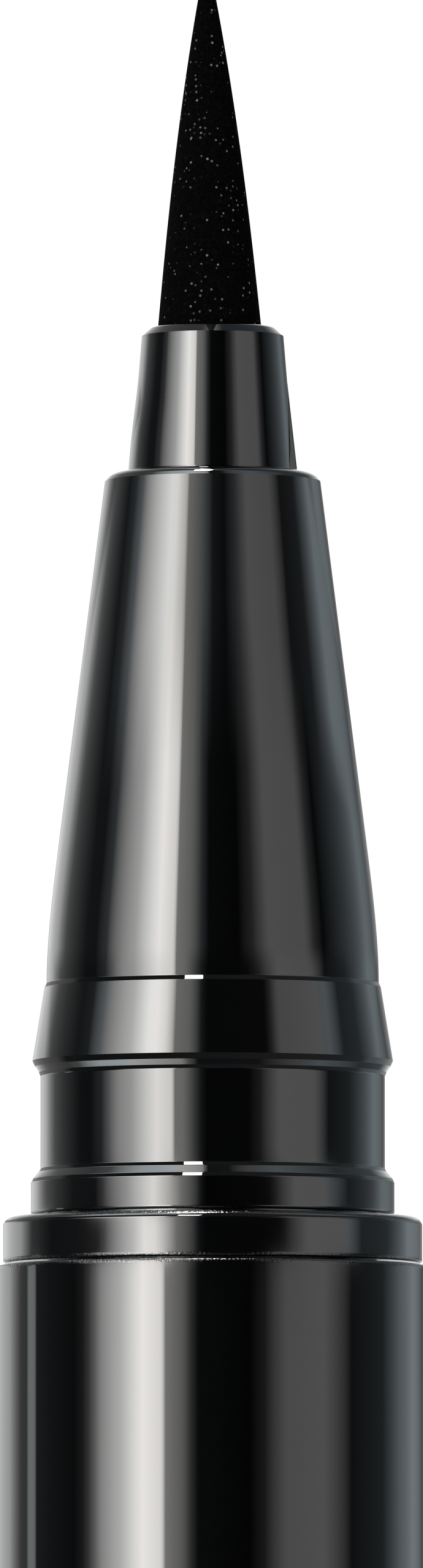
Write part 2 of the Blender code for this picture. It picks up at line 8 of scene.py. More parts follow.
import bmesh
import bpy
from bpy.props import FloatProperty, FloatVectorProperty, IntProperty, PointerProperty
from bpy.types import Operator, Panel, PropertyGroup
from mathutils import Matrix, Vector


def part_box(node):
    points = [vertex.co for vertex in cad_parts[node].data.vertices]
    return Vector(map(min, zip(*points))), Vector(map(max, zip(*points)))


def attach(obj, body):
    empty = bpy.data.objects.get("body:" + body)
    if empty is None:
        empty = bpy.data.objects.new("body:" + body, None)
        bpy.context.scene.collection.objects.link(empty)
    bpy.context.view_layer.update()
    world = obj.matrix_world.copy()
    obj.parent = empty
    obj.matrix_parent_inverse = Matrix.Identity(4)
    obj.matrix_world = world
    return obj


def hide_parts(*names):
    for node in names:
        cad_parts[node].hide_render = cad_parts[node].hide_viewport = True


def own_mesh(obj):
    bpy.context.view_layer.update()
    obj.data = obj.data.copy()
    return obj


bl_info = {
    "name": "Felt-tip eyeliner",
    "version": (1, 0, 0),
    "blender": (4, 5, 0),
    "location": "3D View > Sidebar > Eyeliner",
    "description": "Models the pieces of a felt-tip eyeliner, their finishes and the studio",
    "category": "Object",
}

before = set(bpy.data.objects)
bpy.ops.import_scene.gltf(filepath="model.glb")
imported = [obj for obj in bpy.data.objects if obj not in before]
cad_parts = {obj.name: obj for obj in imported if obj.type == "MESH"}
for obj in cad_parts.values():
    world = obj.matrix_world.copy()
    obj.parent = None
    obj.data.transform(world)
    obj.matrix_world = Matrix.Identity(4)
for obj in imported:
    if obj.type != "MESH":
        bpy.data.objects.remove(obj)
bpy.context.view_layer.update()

MM = 0.001
SEAT_GAP = 0.05 * MM  # end to end, between pieces that rest on each other
FIT_GAP = 0.05 * MM  # radial, between pieces pressed into each other
SLIDE_GAP = 0.08 * MM  # radial, between pieces that slide
RING_TOLERANCE = 0.002 * MM  # within which a point belongs to a ring
MERGE_DISTANCE = 0.0002 * MM
SUPPORT = 0.014 * MM  # from a rounding or kink to the ring that supports its shading
MILD_KINK = math.radians(3)  # between walls, from which a kink is supported
SHARP_KINK = math.radians(32)  # between walls, from which an edge stays sharp
RIB_KINK = math.radians(24)  # the same on the holder, whose right rib has flat flanks
RIGHT_ANGLE = math.radians(90)
ROUNDING_ROOM = 0.7  # share of a wall that the rounding at one end may take
SUPPORT_ROOM = 0.8  # share of a wall that its roundings and supports may take together
CONE_FOOT_STEPS = 12  # up the cone's curved foot
HOLDER_STEPS = 13  # up the holder, whose rounded upper edge takes the last two
TIP_STEPS = 49  # up the felt tip
TIP_CURVE = 2.5  # power of the curved share of the tip's taper
POINT_MIDDLE = 0.7  # share of the point's radius that is left halfway up its rounding
RIB_EASE = 0.03 * MM  # bevel along the right rib's crest
RIB_EASE_STEPS = 3
WIRE_STEPS = 12  # round the spring's wire
TURN_STEPS = 48  # in each turn of the spring
FLOOR_STEPS = 128  # round the white board
FLOOR_GAP = 0.02 * MM  # between the cap's closed end and the board
BOARD = 3 * MM  # thickness of the white board
FADE_START = 40 * MM  # from the pen's axis, where the board begins to fade into the backdrop
FADE_END = 400 * MM
PIXELS_PER_MM = 66
PICTURE_HEIGHT = 2560  # pixels
SENSOR = 36  # width of the camera's sensor, in its own millimetres
CLIP_START = 10 * MM
CLIP_END = 10000 * MM


def foot(node):
    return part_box(node)[0].z


def top(node):
    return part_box(node)[1].z


def outside(node):
    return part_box(node)[1].x


# Sizes and colours that a user would change


def length(name, description, millimetres):
    return FloatProperty(
        name=name, description=description, default=millimetres * MM, unit="LENGTH", precision=5
    )


def angle(name, description, degrees):
    return FloatProperty(
        name=name, description=description, default=math.radians(degrees), unit="ROTATION"
    )


def power(name, description, watts):
    return FloatProperty(name=name, description=description, default=watts, unit="POWER")


def share(name, description, default):
    return FloatProperty(name=name, description=description, default=default, subtype="FACTOR")


def linear_colour(hex_colour):
    """Linear colour, with alpha, of an sRGB hex value."""
    channels = [int(hex_colour[place : place + 2], 16) / 255 for place in (1, 3, 5)]
    return [c / 12.92 if c <= 0.04045 else ((c + 0.055) / 1.055) ** 2.4 for c in channels] + [1]


def colour(name, description, hex_colour):
    shade = linear_colour(hex_colour)
    return FloatVectorProperty(
        name=name, description=description, default=shade, size=4, min=0, max=1, subtype="COLOR"
    )


class BarrelSizes(PropertyGroup):
    """Sizes of the barrel and of the collar on its upper end."""

    radius: length("Barrel radius", "Outside of the barrel", outside("outer_sleeve") / MM)
    wall: length("Barrel wall", "Thickness of the barrel's wall", 0.55)
    tank_bore: length("Collar bore", "Radius inside the collar and the ink tank", 4.1)
    edge_round: length("Edge rounding", "Rounding of the crisp moulded edges", 0.07)
    collar_round: length("Collar rounding", "Rounding of the collar's upper edge", 0.24)
    rim_slope: angle("Rim slope", "Facet with which the upper edges begin", 28)


class NoseSizes(PropertyGroup):
    """Sizes of the front section, from its stem in the tank up to the nib holder."""

    stem_radius: length("Stem radius", "Outside of the stem in the tank", 4.05)
    stem_bore: length("Stem bore", "Radius of the collector's chamber", 3.05)
    groove_radius: length("Groove radius", "Bottom of the sealing ring's groove", 3.5)
    groove_width: length("Groove width", "Height of the sealing ring's groove", 0.6)
    groove_drop: length("Groove drop", "From the land down to the groove", 3)
    land_radius: length("Land radius", "Seal land above the collar", 4.485)
    land_height: length("Land height", "Seal land with its chamfer", 1.16)
    land_chamfer: length("Land chamfer", "Height of the land's chamfer", 0.36)
    neck_radius: length("Neck radius", "Groove for the cap's bead", 4.25)
    neck_height: length("Neck height", "Groove for the cap's bead", 2.28)
    lip_radius: length("Lip radius", "Snap lip under the band", 4.45)
    lip_height: length("Lip height", "Slope under the snap lip", 0.38)
    facet_height: length("Facet height", "Facets that ease the chamfer and the lip", 0.09)
    lip_facet: length("Lip facet", "Height of the facet on the lip's edge", 0.14)
    facet_slope: angle("Facet slope", "Facets and the cone foot's chamfer, off the wall", 24)
    band_radius: length("Band top radius", "Upper end of the snap band", 4.155)
    band_height: length("Band height", "Snap band with its lip", 2.19)
    foot_radius: length("Cone foot radius", "Where the cone stands on the band", 4.105)
    foot_taper: length("Cone foot taper", "What the curved foot loses in radius", 0.295)
    foot_height: length("Cone foot height", "Height of the curved foot", 3.52)
    top_radius: length("Cone top radius", "Upper end of the cone", 2.64)
    top_round: length("Cone top rounding", "Rounding of the cone's upper edge", 0.36)
    rim_slope: angle("Rim slope", "Facet with which the cone's upper edge begins", 40)
    tube_bore: length("Tube bore", "Radius of the hole for the feed tube", 0.95)
    web: length("Web", "Between the collector's chamber and the holder's stem", 2)


class HolderSizes(PropertyGroup):
    """Sizes of the nib holder and its ribs."""

    base_radius: length("Base radius", "Holder where it leaves the cone", 2.03)
    top_radius: length("Top radius", "Holder at the felt tip", 1.735)
    height: length("Height", "Holder above the cone", 3.57)
    corner: length("Top rounding", "Rounding of the holder's upper edge", 0.42)
    rim_slope: angle("Rim slope", "Facet with which the upper edge begins", 48)
    stem_radius: length("Stem radius", "Holder inside the cone", 1.857)
    floor: length("Floor", "Thickness under the felt tip's root", 1)
    mouth: length("Mouth radius", "Bore at the upper edge", 1.407)
    core_bore: length("Core bore", "Radius of the hole for the feed core", 0.6)
    rib_height: length("Rib height", "From the cone to where the rib runs out", 2.17)
    rib_full_height: length("Full rib height", "Up to which the left rib keeps its width", 0.8)
    rib_swell: length("Rib swell", "Round the left rib, over which the wall swells", 1.9)
    rib_proud: length("Rib relief", "How far the rib stands out", 0.056)
    rib_root: length("Rib root", "How far the rib reaches into the wall", 0.4)
    rib_width: length("Rib half width", "Half of the right rib's width", 0.54)
    rib_top_width: length("Rib top half width", "Half of the width where it runs out", 0.2)
    rib_draft: angle("Rib draft", "Slope of the right rib's flanks", 46)


class TipSizes(PropertyGroup):
    """Sizes of the felt tip."""

    radius: length("Radius", "Felt tip at the holder", 1.28)
    length: length("Length", "Felt tip outside the holder", 9.36)
    root_length: length("Root length", "Felt tip inside the holder", 10)
    root_round: length("Root rounding", "Rounding of the root's edge", 0.2)
    point: length("Point radius", "Rounding of the point", 0.05)
    lean: angle("Lean", "How far the tip leans to the left", 0.44)
    straight: share("Straight share", "Part of the taper that is a plain cone", 0.7)


class CapSizes(PropertyGroup):
    """Sizes of the cap that stands under the pen, and of the peg that carries it."""

    bore: length("Cap bore", "Radius inside the cap's mouth", 4.56)
    end_wall: length("End wall", "Thickness of the closed end", 1.2)
    end_round: length("End rounding", "Rounding of the closed end", 0.6)
    bead_radius: length("Bead radius", "Snap bead inside the mouth", 4.34)
    bead_height: length("Bead height", "Height of the snap bead", 0.6)
    bead_ramp: length("Bead ramp", "Height of each slope of the bead", 0.2)
    bead_depth: length("Bead depth", "From the mouth down to the bead's foot", 3.44)
    peg_radius: length("Peg radius", "Peg inside the cap", 4.26)
    peg_root: length("Peg root radius", "Peg between the snap bead and the barrel", 4.48)
    peg_stem: length("Peg stem radius", "Peg inside the barrel", 4.7)
    peg_length: length("Peg length", "Peg outside the barrel", 11)
    peg_wall: length("Peg wall", "Thickness of the hollow peg", 0.9)
    peg_relief: length("Peg relief", "From the snap bead to the peg's root", 0.2)
    inner_radius: length("Inner cap radius", "Outside of the sprung inner cap", 3.136)
    inner_bore: length("Inner cap bore", "Inside of the sprung inner cap", 2.386)
    flange_radius: length("Flange radius", "Flange of the inner cap", 3.836)
    flange_height: length("Flange height", "Flange and floor of the inner cap", 0.8)
    gasket_round: length("Gasket rounding", "Rounding of the gasket's edges", 0.2)
    spring_wire: length("Spring wire radius", "Wire of the coil spring", 0.17)
    spring_turns: IntProperty(name="Spring turns", description="Turns of the spring", default=4)
    inner_travel: length("Inner cap travel", "How far the inner cap presses the spring", 1.5)


class Finishes(PropertyGroup):
    """Colours of the materials."""

    lacquered_black: colour("Barrel black", "Lacquered black plastic", "#010101")
    collar_black: colour("Collar black", "Moulded black plastic of the collar", "#020202")
    felt_black: colour("Felt black", "Fibres of the tip, soaked with ink", "#040404")
    # painted highlight colour of the felt's glints, mixed into its base colour
    felt_painted_glint: colour("Felt glint", "Cut fibre ends that catch the light", "#6E7072")
    milky_plastic: colour("Milky plastic", "Unpigmented plastic of the tank", "#D9D9D2")
    collector_grey: colour("Collector grey", "Plastic of the finned collector", "#8D8F90")
    feed_grey: colour("Feed grey", "Fibres of the feed, soaked with ink", "#2A2827")
    seal_black: colour("Seal black", "Rubber of the sealing rings", "#1A1A1A")
    gasket_grey: colour("Gasket grey", "Rubber of the inner cap's gasket", "#A9ABA8")
    steel: colour("Steel", "Polished steel of the spring and the ball", "#C8C9CB")
    floor: colour("Floor", "Matt white board under the pen", "#EFEFEE")


class StudioSettings(PropertyGroup):
    """Camera, light and the steps of round shapes."""

    camera_distance: length("Camera distance", "From the lens to the pen's axis", 470)
    camera_rise: angle("Camera rise", "How far the camera looks up", 3.6)
    axis_shift: length("Axis shift", "Middle of the picture, off the pen's axis", -0.03)
    aim_height: length("Aim height", "From the barrel up to the middle of the picture", 11.92)
    studio_rise: angle("Studio rise", "Camera's view of the cone, up from level", 3.3)
    gloss_level: FloatProperty(name="Gloss level", description="Studio in the gloss", default=10)
    plain_level: FloatProperty(name="Plain level", description="Soft light all round", default=0.6)
    top_azimuth: angle("Top azimuth", "Small softbox high on the left", -16.5)
    top_rise: angle("Top rise", "Small softbox above the horizon", 50)
    top_distance: length("Top distance", "From the pen to the small softbox", 900)
    top_size: length("Top size", "Side of the small softbox", 160)
    top_power: power("Top power", "Power of the small softbox", 2)
    overhead_azimuth: angle("Overhead azimuth", "Softbox over the pen", -102)
    overhead_rise: angle("Overhead rise", "Softbox over the pen, above the horizon", 84.7)
    overhead_distance: length("Overhead distance", "From the pen to the softbox over it", 900)
    overhead_size: length("Overhead size", "Side of the softbox over the pen", 150)
    overhead_power: power("Overhead power", "Power of the softbox over the pen", 3)
    front_azimuth: angle("Front azimuth", "Large softbox, left of the camera", -25)
    front_rise: angle("Front rise", "Large softbox above the horizon", 38)
    front_distance: length("Front distance", "From the pen to the large softbox", 1600)
    front_size: length("Front size", "Side of the large softbox", 900)
    front_power: power("Front power", "Power of the large softbox", 16)
    floor_radius: length("Floor radius", "White board under the pen", 500)
    around: IntProperty(name="Steps around", description="Steps in each turned ring", default=144)
    corner_steps: IntProperty(name="Corner steps", description="Steps in each rounding", default=6)


# Modelling


def start_clean():
    if bpy.context.mode != "OBJECT":
        bpy.ops.object.mode_set(mode="OBJECT")
    bpy.ops.object.select_all(action="DESELECT")


def pick(obj):
    """Leaves only that object selected, and active."""
    start_clean()
    obj.select_set(True)
    bpy.context.view_layer.objects.active = obj


def begin_shape(name):
    """Names the new object, puts its place into its mesh and enters edit mode."""
    obj = bpy.context.object
    obj.name = obj.data.name = name
    bpy.ops.object.transform_apply()
    bpy.ops.object.mode_set(mode="EDIT")
    return obj


def finish_shape():
    """Turns all faces outwards and leaves edit mode."""
    bpy.ops.mesh.select_all(action="SELECT")
    bpy.ops.mesh.normals_make_consistent(inside=False)
    bpy.ops.object.mode_set(mode="OBJECT")


def select_points(obj, belongs):
    """Selects, in edit mode, the points whose place passes the test, and what lies between them."""
    bpy.ops.mesh.select_mode(type="VERT")
    bpy.ops.mesh.select_all(action="DESELECT")
    shape = bmesh.from_edit_mesh(obj.data)
    for vert in shape.verts:
        if belongs(vert.co):
            vert.select_set(True)
    shape.select_flush_mode()
    bmesh.update_edit_mesh(obj.data)


def select_ring(obj, radius, height):
    """Selects the edges that run round the axis at that radius and height."""

    def on_ring(place):
        across = math.hypot(place.x, place.y)
        return max(abs(across - radius), abs(place.z - height)) < RING_TOLERANCE

    select_points(obj, on_ring)
    bpy.ops.mesh.select_mode(type="EDGE")


def walls(corners, index):
    """The two walls of an outline that meet in a corner, as vectors away from it."""
    corner = Vector(corners[index][:2])
    return [Vector(corners[(index + step) % len(corners)][:2]) - corner for step in (-1, 1)]


def corner_reach(corners, index, rounding):
    """How far a rounding of that radius reaches along the walls of its corner."""
    before, after = walls(corners, index)
    room = ROUNDING_ROOM * min(before.length, after.length)
    return min(rounding / math.tan(before.angle(after) / 2), room)


def wall_margin(corners, index):
    """Room that a corner's rounding, or its smooth kink, takes of the walls beside it."""
    if len(corners[index]) > 2:
        return corner_reach(corners, index, corners[index][2]) + SUPPORT
    before, after = walls(corners, index)
    return SUPPORT if MILD_KINK < (-before).angle(after, 0) < SHARP_KINK else 0


def supported(corners):
    """The outline with more rings beside its roundings and kinks, so that its walls shade true."""
    outline = []
    for index, corner in enumerate(corners):
        outline.append(corner)
        start = Vector(corner[:2])
        wall = walls(corners, index)[1]
        near = wall_margin(corners, index)
        far = wall_margin(corners, (index + 1) % len(corners))
        if start.x == 0 or start.x + wall.x == 0 or near + far > SUPPORT_ROOM * wall.length:
            continue
        if near:
            outline.append(tuple(start + wall * (near / wall.length)))
        if far:
            outline.append(tuple(start + wall * (1 - far / wall.length)))
    return outline


def eased_edge(radius, height, wall, facet, rounding):
    """Corners of a top edge where the wall turns by a facet, at those slopes, into the rounding."""
    reach = rounding * (1 - math.sin(wall)) / math.cos(wall)
    centre = Vector((radius - reach, height - rounding))
    corners = []
    for slope in (wall, RIGHT_ANGLE):
        turn = (slope + facet) / 2
        away = Vector((math.cos(turn), math.sin(turn))) * rounding / math.cos(turn - facet)
        corners.append(centre + away)
    return tuple(corners[0]), (*corners[1], rounding)


def facets(start, end, heights, slope):
    """Corners between which a chamfer turns, by a facet at each end, into the walls."""
    first, last = heights
    step = math.copysign(math.tan(slope), end[0] - start[0])
    return (start[0] + step * first, start[1] + first), (end[0] - step * last, end[1] - last)


def turned_piece(name, corners):
    """Circle extruded ring by ring along an outline of (radius, height, rounding) corners.

    The outline begins and ends on the axis, or closes on its own first ring. Its roundings are
    bevelled at the end."""
    settings = bpy.context.scene.eyeliner_studio
    start_clean()
    solid_foot = corners[0][0] == 0
    first = 1 if solid_foot else 0
    outline = supported(corners)
    radius, height = corners[first][:2]
    bpy.ops.mesh.primitive_circle_add(
        vertices=settings.around,
        radius=radius,
        fill_type="TRIFAN" if solid_foot else "NOTHING",
        location=(0, 0, height),
    )
    obj = begin_shape(name)
    select_ring(obj, radius, height)
    for corner in outline[first + 1 :] + ([] if solid_foot else outline[:1]):
        lift = corner[1] - height
        bpy.ops.mesh.extrude_region_move(TRANSFORM_OT_translate={"value": (0, 0, lift)})
        if corner[0] == 0:
            bpy.ops.mesh.merge(type="CENTER")
            break
        stretch = corner[0] / radius
        radius, height = corner[:2]
        bpy.ops.transform.resize(value=(stretch, stretch, 1), center_override=(0, 0, height))
    bpy.ops.mesh.select_all(action="SELECT")
    bpy.ops.mesh.remove_doubles(threshold=MERGE_DISTANCE)
    bpy.ops.mesh.normals_make_consistent(inside=False)
    for index, (radius, height, *rounding) in enumerate(corners):
        if rounding:
            select_ring(obj, radius, height)
            reach = corner_reach(corners, index, rounding[0])
            bpy.ops.mesh.bevel(offset=reach, segments=settings.corner_steps, affect="EDGES")
    bpy.ops.object.mode_set(mode="OBJECT")
    return obj


def apply_modifier(obj, kind, **settings):
    modifier = obj.modifiers.new(kind.lower(), kind)
    for name, value in settings.items():
        setattr(modifier, name, value)
    pick(obj)
    bpy.ops.object.modifier_apply(modifier=modifier.name)


def dress(obj, node, body, slot, material, sharp_angle=SHARP_KINK):
    """Shades a piece smooth up to its sharp edges, and puts it in the place of its node."""
    pick(obj)
    bpy.ops.object.shade_smooth_by_angle(angle=sharp_angle)
    apply_modifier(obj, "WEIGHTED_NORMAL", keep_sharp=True)
    obj.data.materials.clear()
    obj.data.materials.append(ready_material(material))
    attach(obj, body)
    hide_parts(node)


# Materials


def add_node(tree, kind, sockets=(), stops=(), **settings):
    """Node with its settings, the values or links of its sockets, and the stops of a ramp.

    Sockets come by name, or as a list in the node's own order. A linked node gives its first
    output."""
    node = tree.nodes.new("ShaderNode" + kind)
    for name, value in settings.items():
        setattr(node, name, value)
    for name, value in sockets.items() if isinstance(sockets, dict) else enumerate(sockets):
        if isinstance(value, bpy.types.Node):
            value = next(output for output in value.outputs if output.enabled)
        if isinstance(value, bpy.types.NodeSocket):
            tree.links.new(value, node.inputs[name])
        else:
            node.inputs[name].default_value = value
    for index, (position, shade) in enumerate(stops):
        elements = node.color_ramp.elements
        element = elements[index] if index < len(elements) else elements.new(1)
        element.position = position
        element.color = shade
    return node


def darker(shade, left):
    """The colour with only that share of its light left."""
    return [channel * left for channel in shade[:3]] + [1]


def lacquered_plastic(add, places, shade, roughness, node):
    """Injection-moulded black ABS under clear lacquer.

    The lacquer mirrors the softboxes with crisp edges. It has a faint long wave, the plastic under
    it is a little cloudy, and the thin edges at the node's two seams are grainy from the mould's
    parting faces."""
    # clouds in the gloss, about 2 mm across
    clouds = add("TexNoise", {"Vector": places, "Scale": 1 / (2 * MM), "Detail": 3})
    gloss = add("MapRange", [clouds, 0.3, 0.7, roughness * 0.8, roughness * 1.25])
    # pigment streaks along the flow of the melt, 0.4 mm wide
    stretch = 1 / (0.4 * MM), 1 / (0.4 * MM), 1 / (6 * MM)
    flow = add("Mapping", {"Vector": places, "Scale": stretch})
    streaks = add("TexNoise", {"Vector": flow, "Scale": 1})
    pigment = add("Mix", {"Factor": streaks, "A": darker(shade, 0.7), "B": shade}, data_type="RGBA")
    # long wave of the lacquer, about 5 mm from crest to crest and half a micron high
    wave = add("TexNoise", {"Vector": places, "Scale": 1 / (5 * MM), "Detail": 1})
    waves = add("Bump", {"Height": wave, "Strength": 1, "Distance": 0.001 * MM})
    # grain of the parting edges, 0.06 mm across
    height = add("SeparateXYZ", [places]).outputs["Z"]
    seams = []
    for seam in (top(node), foot(node)):
        away = add("Math", [height, seam], operation="SUBTRACT")
        distance = add("Math", [away], operation="ABSOLUTE")
        seams.append(add("MapRange", [distance, 0.11 * MM, 0.04 * MM]))
    near_seam = add("Math", seams, operation="MAXIMUM")
    grain = add("TexNoise", {"Vector": places, "Scale": 1 / (0.06 * MM), "Detail": 2})
    relief = {"Height": grain, "Strength": near_seam, "Distance": 0.018 * MM, "Normal": waves}
    grains = add("Bump", relief)
    finish = {
        "Base Color": pigment,
        "Roughness": gloss,
        "IOR": 1.5,
        "Coat Weight": 1,
        "Coat Roughness": 0.01,
        "Coat IOR": 1.5,
        "Normal": grains,
        "Coat Normal": grains,
    }
    return add("BsdfPrincipled", finish)


def pressed_felt(add, places, shade):
    """Polyester fibres pressed and ground to a cone, soaked with black ink.

    A dull black surface, with dull glints painted as lighter dots where cut fibre ends catch light."""
    painted_glint_colour = bpy.context.scene.eyeliner_finishes.felt_painted_glint
    # cut fibre ends, one in each 0.13 mm of felt, up to 0.06 mm across, where glints are painted
    ends = add("TexVoronoi", {"Vector": places, "Scale": 1 / (0.13 * MM)})
    near = add("MapRange", [ends, 0.29, 0.14], interpolation_type="SMOOTHSTEP")
    # painted glints, brighter on some ends than others, in loose clusters of about 0.9 mm
    painted_shine = add("SeparateColor", [ends.outputs["Color"]])
    crowds = add("TexNoise", {"Vector": places, "Scale": 1 / (0.9 * MM), "Detail": 1})
    least = add("MapRange", [crowds, 0.35, 0.65, 0.9, 0.2])
    painted_glint_strength = add("MapRange", [painted_shine, least, 1.05])
    painted_glint_mask = add("Math", [near, painted_glint_strength], operation="MULTIPLY")
    # matted fibres between them, 0.04 mm thick
    fibres = add("TexNoise", {"Vector": places, "Scale": 1 / (0.08 * MM), "Detail": 4, "Roughness": 0.6})
    matted = add("MapRange", [fibres, 0.45, 0.75, 0.3, 2])
    dull = add("VectorMath", {0: shade[:3], "Scale": matted}, operation="SCALE")
    # painted highlight: the glint colour mixed into the felt's colour at the fibre ends
    tint = add("Mix", {"Factor": painted_glint_mask, "A": dull, "B": painted_glint_colour}, data_type="RGBA")
    relief = add("Math", [painted_glint_mask, fibres], operation="ADD")
    bump = add("Bump", {"Height": relief, "Strength": 0.5, "Distance": 0.02 * MM})
    finish = {"Base Color": tint, "Roughness": 0.9, "IOR": 1.4, "Specular IOR Level": 0.03, "Normal": bump}
    return add("BsdfPrincipled", finish)


def moulded_plastic(add, places, shade, roughness, grain):
    """Plain injection-moulded plastic or rubber: the fine grain of its mould, slightly mottled."""
    mottle = add("TexNoise", {"Vector": places, "Scale": 1 / (1.5 * MM), "Detail": 4})
    tint = add("Mix", {"Factor": mottle, "A": darker(shade, 0.88), "B": shade}, data_type="RGBA")
    dull = add("MapRange", [mottle, 0, 1, roughness * 0.8, roughness * 1.2])
    # the mould's grain, a thirtieth as high as it is wide
    skin = add("TexNoise", {"Vector": places, "Scale": 1 / grain, "Detail": 3})
    bump = add("Bump", {"Height": skin, "Strength": 0.4, "Distance": grain / 30})
    finish = {"Base Color": tint, "Roughness": dull, "IOR": 1.49, "Normal": bump}
    return add("BsdfPrincipled", finish)


def fibre_bundle(add, places, shade):
    """Bundle of acrylic fibres that run along the pen, wet with ink: fine lengthwise lines."""
    stretch = 1 / (0.05 * MM), 1 / (0.05 * MM), 1 / (3 * MM)
    along = add("Mapping", {"Vector": places, "Scale": stretch})
    strands = add("TexNoise", {"Vector": along, "Scale": 1, "Detail": 2})
    tint = add("Mix", {"Factor": strands, "A": darker(shade, 0.4), "B": shade}, data_type="RGBA")
    bump = add("Bump", {"Height": strands, "Strength": 0.6, "Distance": 0.015 * MM})
    return add("BsdfPrincipled", {"Base Color": tint, "Roughness": 0.8, "Normal": bump})


def polished_steel(add, places, shade):
    """Stainless steel, drawn or lapped bright: a clean mirror with fine random scratches."""
    scratches = add("TexNoise", {"Vector": places, "Scale": 1 / (0.1 * MM), "Detail": 5, "Distortion": 2})
    dull = add("MapRange", [scratches, 0, 1, 0.08, 0.24])
    return add("BsdfPrincipled", {"Base Color": shade, "Metallic": 1, "Roughness": dull})


def white_board(add, places, shade):
    """Matt white card. Away from the pen the camera sees it turn to the backdrop's white."""
    paper = add("TexNoise", {"Vector": places, "Scale": 1 / (0.5 * MM), "Detail": 3})
    tint = add("Mix", {"Factor": paper, "A": darker(shade, 0.97), "B": shade}, data_type="RGBA")
    finish = {"Base Color": tint, "Roughness": 0.9, "Specular IOR Level": 0.2}
    card = add("BsdfPrincipled", finish)
    away = add("VectorMath", [places], operation="LENGTH")
    faded = add("MapRange", [away, FADE_START, FADE_END, 0.3, 1], interpolation_type="SMOOTHSTEP")
    camera = add("LightPath").outputs["Is Camera Ray"]
    seen = add("Math", [faded, camera], operation="MULTIPLY")
    white = add("Emission", {"Color": (1, 1, 1, 1), "Strength": 1})
    return add("MixShader", [seen, card, white])


# How each material is made: its maker, its colour, and its roughness with the node whose seams
# it shows, or with the size of its grain.
MATERIALS = {
    "lacquered_black_abs": (lacquered_plastic, "lacquered_black", 0.02, "outer_sleeve"),
    "lacquered_collar_abs": (lacquered_plastic, "collar_black", 0.018, "middle_ring"),
    "pressed_polyester_felt": (pressed_felt, "felt_black"),
    "moulded_polypropylene": (moulded_plastic, "milky_plastic", 0.35, 0.15 * MM),
    "moulded_gasket_silicone": (moulded_plastic, "gasket_grey", 0.5, 0.06 * MM),
    "moulded_nitrile_rubber": (moulded_plastic, "seal_black", 0.55, 0.05 * MM),
    "moulded_collector_abs": (moulded_plastic, "collector_grey", 0.4, 0.08 * MM),
    "acrylic_fibre_wick": (fibre_bundle, "feed_grey"),
    "polished_stainless_steel": (polished_steel, "steel"),
    "matt_white_card": (white_board, "floor"),
}


def ready_material(name):
    """Material of that name, made the first time that it is asked for."""
    material = bpy.data.materials.get(name)
    if not material:
        make, shade, *details = MATERIALS[name]
        shade = getattr(bpy.context.scene.eyeliner_finishes, shade)
        material = bpy.data.materials.new(name)
        material.use_nodes = True
        material.node_tree.nodes.clear()
        add = partial(add_node, material.node_tree)
        places = add("TexCoord").outputs["Object"]
        add("OutputMaterial", {"Surface": make(add, places, shade, *details)})
    return material


# Pieces

# slots and materials that several pieces share
BLACK = "gloss_black", "lacquered_black_abs"
MILKY = "milky_plastic", "moulded_polypropylene"


class EYELINER_OT_barrel(Operator):
    """Model the barrel and the collar on its upper end"""

    bl_idname = "eyeliner.barrel"
    bl_label = "Barrel and collar"

    def execute(self, context):
        sizes = context.scene.eyeliner_barrel
        low, high = foot("outer_sleeve"), top("outer_sleeve")
        corners = [
            (sizes.radius - sizes.wall, low),
            (sizes.radius, low, sizes.edge_round),
            *eased_edge(sizes.radius, high, 0, sizes.rim_slope, sizes.edge_round),
            (sizes.radius - sizes.wall, high),
        ]
        dress(turned_piece("barrel", corners), "outer_sleeve", "pen", *BLACK)
        low, high, radius = foot("middle_ring"), top("middle_ring"), outside("middle_ring")
        corners = [
            (sizes.tank_bore, low),
            (radius, low, sizes.edge_round),
            *eased_edge(radius, high, 0, sizes.rim_slope, sizes.collar_round),
            (sizes.tank_bore, high),
        ]
        collar = turned_piece("collar", corners)
        dress(collar, "middle_ring", "pen", "collar_black", "lacquered_collar_abs")
        return {"FINISHED"}


